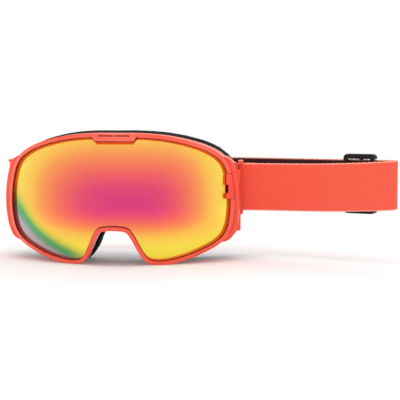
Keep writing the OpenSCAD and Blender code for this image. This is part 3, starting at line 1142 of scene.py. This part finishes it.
@dataclass
class Padding:
    """The face foam in its layers, and the foam over the vents."""

    voxel: float = 1.3
    smoothing: int = 5
    brow_rise: float = 1.1
    brow_from: float = 30.0
    brow_run: float = 12.0
    lump_scale: float = 90.0

    def soft_copy(
        self, node: str, name: str, finish: Finish, swell: float, lump: float
    ) -> bpy.types.Object:
        """Remesh a construction solid, relax its corners and swell it a little.

        Args:
            node: The solid.
            name: The piece's name.
            finish: Its material.
            swell: How far its faces move out.
            lump: Height of the slow unevenness of cut foam.

        Returns:
            The new object.
        """
        raw = to_object(merged_copy(node), f"{name}_raw", [])
        remesh = raw.modifiers.new("even", "REMESH")
        remesh.mode = "VOXEL"
        remesh.voxel_size = self.voxel * MM
        graph = bpy.context.evaluated_depsgraph_get()
        mesh = bmesh.new()
        mesh.from_mesh(raw.evaluated_get(graph).data)
        bpy.data.objects.remove(raw)
        for _ in range(self.smoothing):
            bmesh.ops.smooth_vert(
                mesh, verts=mesh.verts, factor=0.5, use_axis_x=True, use_axis_y=True, use_axis_z=True
            )
        mesh.normal_update()
        moves = []
        for vert in mesh.verts:
            wave = noise.noise(vert.co * self.lump_scale)
            # The brow's foam stands a little over the rim once it has been cut and glued
            share = (vert.co.z / MM - self.brow_from) / self.brow_run
            lift = min(max(share, 0.0), 1.0) * self.brow_rise
            moves.append((vert.normal * (swell + lump * wave) + Vector((0, 0, lift))) * MM)
        for vert, move in zip(mesh.verts, moves):
            vert.co += move
        return to_object(mesh, name, [finish], 180.0)

    def build(self) -> None:
        """Make every foam layer."""
        layers = (
            ("face_foam_base", "foam_base", BASE_FOAM, 0.25, Slot.FACE_FOAM),
            ("face_foam_middle", "foam_middle", MIDDLE_FOAM, 0.3, Slot.FACE_FOAM),
            ("face_fleece", "fleece_facing", FLEECE, 0.2, Slot.FLEECE),
        )
        for node, name, finish, swell, slot in layers:
            piece = self.soft_copy(node, name, finish, swell, 0.12)
            seat(piece, Body.FRAME, [node])
        for node in ("brow_vent_foam", "cheek_vent_foam_left", "cheek_vent_foam_right"):
            piece = self.soft_copy(node, node.replace("_foam", "_mesh"), VENT_FOAM, 0.1, 0.1)
            seat(piece, Body.FRAME, [node])


@dataclass
class Strap:
    """The elastic webbing in its two runs, with its slider and silicone lines.

    The route repeats the construction's: out from the right-hand bar, round the fold,
    straight back to the temple, behind the foam and round to the left-hand bar.
    """

    width: float = 38.0
    thickness: float = 1.8
    rise: float = 5.2
    fold_r: float = 3.4
    stretch: float = 3.6
    run_slope: float = 0.526
    tail: float = 13.0
    bar_loop: float = 2.65
    spacing: float = 1.0
    across: int = 10
    bead: float = 0.28
    pick: float = 2.6
    front_lifts: tuple[tuple[float, float], ...] = (
        (0.16, 3.9), (0.42, 2.8), (0.68, 1.0), (0.87, -0.2),
    )
    back_shares: tuple[float, ...] = (0, 0.185, 0.4, 0.7, 0.88)
    stitch_rows: int = 2
    stitch_count: int = 17
    stitch_pitch: tuple[float, float] = (1.8, 1.9)
    stitch_size: tuple[float, float, float] = (0.22, 0.18, 0.7)
    corner_radius: float = 3.2
    corner_reach: float = 25.0
    edge_radius: float = 0.5
    bands: tuple[Vector, Vector] = field(init=False)
    middle_z: float = field(init=False)
    right_bar: Vector = field(init=False)
    left_bar: Vector = field(init=False)

    def __post_init__(self) -> None:
        """Take the bars and the webbing's box from the construction."""
        low, high = (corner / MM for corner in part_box("strap_band"))
        # The fold moves on along the back run's own line, so that run keeps its place in the slider
        drop = self.stretch * self.run_slope
        self.bands = (low - Vector((0, drop, 0)), high + Vector((self.stretch, 0, 0)))
        right = [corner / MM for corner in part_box("strap_end_right")]
        left = [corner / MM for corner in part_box("strap_end_left")]
        half = self.bar_loop + self.thickness / 2
        self.right_bar = Vector((right[0].x + half, right[0].y + half, 0))
        self.left_bar = Vector((left[0].x + half, left[0].y + half, 0))
        self.middle_z = (right[0].z + right[1].z) / 2

    def fold_arc(self) -> tuple[Loop, Vector]:
        """Return the fold's arc from front to back, and the point at the temple that it heads for.

        Returns:
            The arc's places, and the point.
        """
        low, high = self.bands
        half = self.thickness / 2
        middle = Vector((high.x - half - self.fold_r, low.y + half + self.fold_r, 0))
        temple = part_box("face_fleece")[1] / MM
        turn = Vector((temple.x + 6, temple.y + 5.2, 0))
        away = turn - middle
        start = math.radians(-105)
        end = math.atan2(away.y, away.x) - math.acos(self.fold_r / away.length)
        arc = []
        for i in range(25):
            a = start + (end - start) * i / 24
            arc.append(middle + self.fold_r * Vector((math.cos(a), math.sin(a), 0)))
        return arc, turn

    def loop_round(self, bar: Vector, turn_deg: float, hand: int) -> Loop:
        """Return the sewn tail and the turn round a bar, ending on the leg that runs on.

        Args:
            bar: The bar's middle, seen from above.
            turn_deg: Which way the tail points.
            hand: 1, or -1 where the loop is mirrored.

        Returns:
            The places of the loop.
        """
        path = [Vector((self.tail - 1.6, -self.bar_loop + self.thickness + 0.25, 0)),
                Vector((self.tail / 3, self.bar_loop * 0.6, 0))]
        for i in range(13):
            a = math.radians(90 + 180 * i / 12)
            path.append(self.bar_loop * Vector((math.cos(a), math.sin(a), 0)))
        path.append(Vector((self.tail / 2, -self.bar_loop, 0)))
        spin = Matrix.Rotation(math.radians(turn_deg), 4, "Z") @ Matrix.Diagonal((1, hand, 1, 1))
        return [bar + spin @ p for p in path]

    def front_run(self) -> Loop:
        """Return the route from the right-hand bar to the tip of the fold.

        Returns:
            The places of the route.
        """
        arc, _ = self.fold_arc()
        start = self.right_bar + Vector((self.tail, -self.bar_loop, 0))
        line = arc[0] - start
        beside = [start + line * share + Vector((0, lift, 0)) for share, lift in self.front_lifts]
        knots = [start, *beside, arc[0]]
        tip = max(range(len(arc)), key=lambda i: arc[i].x)
        return self.loop_round(self.right_bar, 0, 1) + curve_through(knots, 6)[:-1] + arc[: tip + 1]

    def back_run(self) -> Loop:
        """Return the route from the tip of the fold to the left-hand bar.

        Returns:
            The places of the route.
        """
        arc, turn = self.fold_arc()
        tip = max(range(len(arc)), key=lambda i: arc[i].x)
        run_y = self.bands[1].y - self.thickness / 2
        temple_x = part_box("face_fleece")[1].x / MM
        end_x = self.left_bar.x - self.bar_loop
        away = turn - arc[-1]
        knots = [arc[-1] + away * share for share in self.back_shares]
        knots += [
            turn,
            Vector((temple_x - 6, run_y - 0.9, 0)), Vector((temple_x - 26, run_y, 0)),
            Vector((0, run_y, 0)), Vector((26 - temple_x, run_y, 0)),
            Vector((6 - temple_x, run_y - 0.4, 0)),
            Vector((-temple_x - 3.4, run_y - 2.6, 0)), Vector((end_x + 1.6, run_y - 8, 0)),
            Vector((end_x, run_y - 14, 0)), Vector((end_x, self.left_bar.y + self.tail, 0)),
        ]
        loop = self.loop_round(self.left_bar, 90, -1)
        return arc[tip:-1] + curve_through(knots, 6) + loop[::-1]

    def height(self, place: Vector, back: bool) -> float:
        """Return the height of the webbing's middle at a place of its route.

        Args:
            place: The place, seen from above.
            back: Whether it is on the run behind the foam.

        Returns:
            The height.
        """
        if back:
            end_x = self.left_bar.x - self.bar_loop
            share = (place.x - end_x) / (self.bands[1].x - self.thickness / 2 - end_x)
            return self.middle_z + self.rise * max(share, 0.0)
        start_x = self.right_bar.x + self.tail
        share = (place.x - start_x) / (self.bands[1].x - self.thickness / 2 - start_x)
        return self.middle_z + self.rise * max(share, 0.0) ** 2

    def section(self) -> list[tuple[float, float]]:
        """Return the webbing's cross-section as thickness and width, with beaded edges.

        Returns:
            Places round the section.
        """
        half_t, half_w = self.thickness / 2, self.width / 2
        made = []
        for i in range(self.across + 1):
            w = -half_w + 1.2 + (self.width - 2.4) * i / self.across
            made.append((half_t * (0.9 if 0 < i < self.across else 1.0), w))
        for a_deg in (62, 30, 0, -30, -62):
            a = math.radians(a_deg)
            made.append((half_t * math.sin(a), half_w - 0.9 + 0.9 * math.cos(a)))
        return made + [(-t, -w) for t, w in made]

    def webbing(self, name: str, route: Loop, back: bool) -> bpy.types.Object:
        """Sweep the cross-section along a route.

        Args:
            name: The piece's name.
            route: The route of the webbing's middle, seen from above.
            back: Whether it is the run behind the foam.

        Returns:
            The new object.
        """
        path = evenly(route, self.spacing)
        section = self.section()
        rings, lengths = [], []
        run = 0.0
        for i, place in enumerate(path):
            before, after = path[max(i - 1, 0)], path[min(i + 1, len(path) - 1)]
            ahead = (after - before).normalized()
            side = Vector((-ahead.y, ahead.x, 0))
            run += (place - before).length
            level = self.height(place, back)
            # Each pick of the weave pulls the edge in and lets it out again
            scallop = self.bead * math.sin(2 * math.pi * run / self.pick)
            ring = []
            for t, w in section:
                out = max(0.0, abs(w) - self.width / 2 + self.pick / 2) / (self.pick / 2)
                reach = w + math.copysign(scallop * out, w)
                ring.append(place + side * t + Vector((0, 0, level + reach)))
            rings.append(ring)
            lengths.append(run)
        skin = Skin(rings[0])
        inner: set[bmesh.types.BMVert] = set()
        for i, (ring, length) in enumerate(zip(rings, lengths)):
            if i:
                skin.grow(ring)
            skin.mark([(length * MM, w * MM) for _, w in section])
            inner.update(v for v, (t, _) in zip(skin.last, section) if t > self.thickness * 0.4)
        skin.cap_ends()
        skin.uv("strap")
        # The side that lies on the head is coloured dark maroon, painted shade for the shadow between the
        # strap's two layers
        for face in skin.mesh.faces:
            face.material_index = 1 if all(v in inner for v in face.verts) else 0
        return to_object(skin.mesh, name, [ELASTIC, ELASTIC_INSIDE_SHADE], 60.0)

    def stitches(self, name: str, bar: Vector, turn_deg: float, hand: int, body: Body) -> None:
        """Sew a box of stitches through the tail.

        Args:
            name: The piece's name.
            bar: The outrigger's bar.
            turn_deg: Which way the tail points.
            hand: 1, or -1 where the loop is mirrored.
            body: The body that it rides on.
        """
        mesh = bmesh.new()
        spin = Matrix.Rotation(math.radians(turn_deg), 4, "Z") @ Matrix.Diagonal((1, hand, 1, 1))
        face_y = -self.bar_loop + self.thickness * 1.5 + 0.3
        step_x, step_z = self.stitch_pitch
        rows = [
            (self.tail - 5.5 + step_x * row, -15 + step_z * k)
            for row in range(self.stitch_rows)
            for k in range(self.stitch_count)
        ]
        grow = Matrix.Diagonal((*self.stitch_size, 1))
        for x, z in rows:
            middle = bar + spin @ Vector((x, face_y, 0)) + Vector((0, 0, z + self.middle_z))
            place = Matrix.Translation(middle)
            made = bmesh.ops.create_uvsphere(mesh, u_segments=6, v_segments=5, radius=1.0)
            bmesh.ops.transform(mesh, verts=made["verts"], matrix=place @ spin @ grow)
        bmesh.ops.scale(mesh, verts=mesh.verts, vec=(MM, MM, MM))
        seat(to_object(mesh, name, [THREAD], 80.0), body)

    def slider(self) -> bpy.types.Object:
        """Round the construction's slider as a moulded part, its four corners more than its edges.

        Returns:
            The new object.
        """
        low, high = (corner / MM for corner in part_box("strap_slider"))
        middle = (low + high) / 2
        arc, turn = self.fold_arc()
        through = (turn - arc[-1]).normalized().cross(Vector((0, 0, 1)))
        mesh = merged_copy("strap_slider")
        corners = []
        for edge in mesh.edges:
            a, b = edge.verts[0].co / MM, edge.verts[1].co / MM
            along = abs((b - a).normalized().dot(through)) > 0.97
            off = (a + b) / 2 - middle
            off -= through * off.dot(through)
            if along and off.length > self.corner_reach and edge.calc_face_angle(0.0) > 1.0:
                corners.append(edge)
        round_edges(mesh, corners, self.corner_radius, 5)
        round_edges(mesh, sharp_edges(mesh), self.edge_radius, 3)
        LOG.info("slider: %d corners rounded", len(corners))
        return to_object(mesh, "ladder_slider", [BLACK_ACETAL], 50.0)

    def build(self) -> None:
        """Make the webbing, its stitches, the slider and the silicone lines."""
        front = self.webbing("strap_front_run", self.front_run(), back=False)
        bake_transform(front)
        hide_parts("strap_end_right", "strap_band")
        back = self.webbing("strap_back_run", self.back_run(), back=True)
        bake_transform(back)
        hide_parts("strap_end_left")
        self.stitches("stitches_right", self.right_bar, 0, 1, Body.RIGHT)
        self.stitches("stitches_left", self.left_bar, 90, -1, Body.LEFT)
        seat(self.slider(), Body.SLIDER, ["strap_slider"])
        for level in ("upper", "lower"):
            seat(rounded_copy(f"strap_grip_{level}", f"grip_line_{level}", SILICONE, 0.3, 3), Body.FRAME,
                 [f"strap_grip_{level}"])


# ---------------------------------------------------------------- the studio


@dataclass
class Studio:
    """Camera, soft lamps and a pale floor."""

    azimuth_deg: float = 6.0
    elevation_deg: float = 5.1
    distance: float = 1.022
    aside: float = 0.0674
    above: float = 0.00177
    lens_mm: float = 119.6

    def camera(self) -> None:
        """Stand the camera before the goggles, a little to the strap's side."""
        a, e = math.radians(self.azimuth_deg), math.radians(self.elevation_deg)
        right = Vector((math.cos(a), math.sin(a), 0))
        ahead = Vector((-math.sin(a) * math.cos(e), math.cos(a) * math.cos(e), -math.sin(e)))
        up = right.cross(ahead)
        apex = Vector((0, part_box("outer_lens")[0].y, 0))
        data = bpy.data.cameras.new("camera")
        data.lens = self.lens_mm
        data.sensor_width = 36.0
        data.clip_start, data.clip_end = 0.05, 20.0
        made = bpy.data.objects.new("camera", data)
        made.location = apex + right * self.aside + up * self.above - ahead * self.distance
        made.rotation_euler = ahead.to_track_quat("-Z", "Y").to_euler()
        bpy.context.scene.collection.objects.link(made)
        bpy.context.scene.camera = made

    def lamp(self, name: str, place: Vector, size: float, watts: float) -> None:
        """Hang one soft lamp that looks at the goggles.

        Args:
            name: The lamp's name.
            place: Where it hangs, in metres.
            size: Its width.
            watts: Its power.
        """
        data = bpy.data.lights.new(name, "AREA")
        data.shape = "DISK"
        data.size = size
        data.energy = watts
        made = bpy.data.objects.new(name, data)
        made.location = place
        made.rotation_euler = (Vector((0.05, 0, 0)) - place).to_track_quat("-Z", "Y").to_euler()
        bpy.context.scene.collection.objects.link(made)

    @staticmethod
    def seen_directly(tree: bpy.types.NodeTree) -> bpy.types.NodeSocket:
        """Tell rays that look at the studio, straight or by gloss or glass, from those that light it.

        Args:
            tree: The node tree.

        Returns:
            A socket that is 1 for those rays.
        """
        ray = add_node(tree, "ShaderNodeLightPath")
        seen = ray.outputs["Is Camera Ray"]
        for kind in ("Is Glossy Ray", "Is Transmission Ray"):
            both = {0: seen, 1: ray.outputs[kind]}
            seen = add_node(tree, "ShaderNodeMath", both, operation="MAXIMUM").outputs[0]
        return seen

    def floor(self) -> None:
        """Lay a pale floor that keeps the goggles' shadow."""
        mesh = bmesh.new()
        bmesh.ops.create_grid(mesh, x_segments=2, y_segments=2, size=6.0)
        level = min(corner.z for corner in CAD_BOX) - 0.0002
        bmesh.ops.translate(mesh, verts=mesh.verts, vec=(0, 0, level))
        data = bpy.data.meshes.new("floor")
        mesh.to_mesh(data)
        mesh.free()
        paper = bpy.data.materials.new("white_paper_floor")
        paper.use_nodes = True
        tree = paper.node_tree
        tree.nodes.clear()
        seen = self.seen_directly(tree)
        matt = add_node(tree, "ShaderNodeBsdfDiffuse", {"Color": linear("F4F2F2")})
        glow = add_node(tree, "ShaderNodeEmission", {"Color": (1, 1, 1, 1), "Strength": 1.0})
        place = add_node(tree, "ShaderNodeTexCoord").outputs["Object"]
        reach = add_node(tree, "ShaderNodeVectorMath", {0: place}, operation="LENGTH")
        fade = add_node(
            tree,
            "ShaderNodeMapRange",
            {"Value": reach.outputs["Value"], "From Min": 0.15, "From Max": 0.42, "To Min": 0.1},
            interpolation_type="SMOOTHSTEP",
        )
        part = add_node(tree, "ShaderNodeMath", {0: seen, 1: fade.outputs[0]}, operation="MULTIPLY")
        both = {0: part.outputs[0], 1: matt.outputs[0], 2: glow.outputs[0]}
        mixed = add_node(tree, "ShaderNodeMixShader", both)
        add_node(tree, "ShaderNodeOutputMaterial", {"Surface": mixed.outputs[0]})
        data.materials.append(paper)
        made = bpy.data.objects.new("floor", data)
        bpy.context.scene.collection.objects.link(made)

    def sky(self) -> None:
        """Give a plain level of light, and a white background to what sees it."""
        world = bpy.data.worlds.new("studio")
        world.use_nodes = True
        tree = world.node_tree
        tree.nodes.clear()
        seen = self.seen_directly(tree)
        light = add_node(tree, "ShaderNodeBackground", {"Color": (1, 1, 1, 1), "Strength": 0.95})
        white = add_node(tree, "ShaderNodeBackground", {"Color": (1, 1, 1, 1), "Strength": 1.0})
        both = {0: seen, 1: light.outputs[0], 2: white.outputs[0]}
        mixed = add_node(tree, "ShaderNodeMixShader", both)
        add_node(tree, "ShaderNodeOutputWorld", {"Surface": mixed.outputs[0]})
        bpy.context.scene.world = world

    def build(self) -> None:
        """Set up the studio."""
        bpy.context.scene.view_settings.view_transform = "Standard"
        self.camera()
        self.lamp("overhead", Vector((0.0, -0.3, 1.6)), 1.1, 6.5)
        self.lamp("back", Vector((0.1, 1.1, 1.0)), 0.9, 3.0)
        self.floor()
        self.sky()


def main() -> None:
    """Build the studio and every piece."""
    logging.basicConfig(level=logging.INFO, format="%(name)s %(message)s")
    Studio().build()
    shape = LensShape()
    LensCassette(shape).build()
    Shell(shape).build()
    Outriggers().build()
    Padding().build()
    Strap().build()


if __name__ == "__main__":
    main()
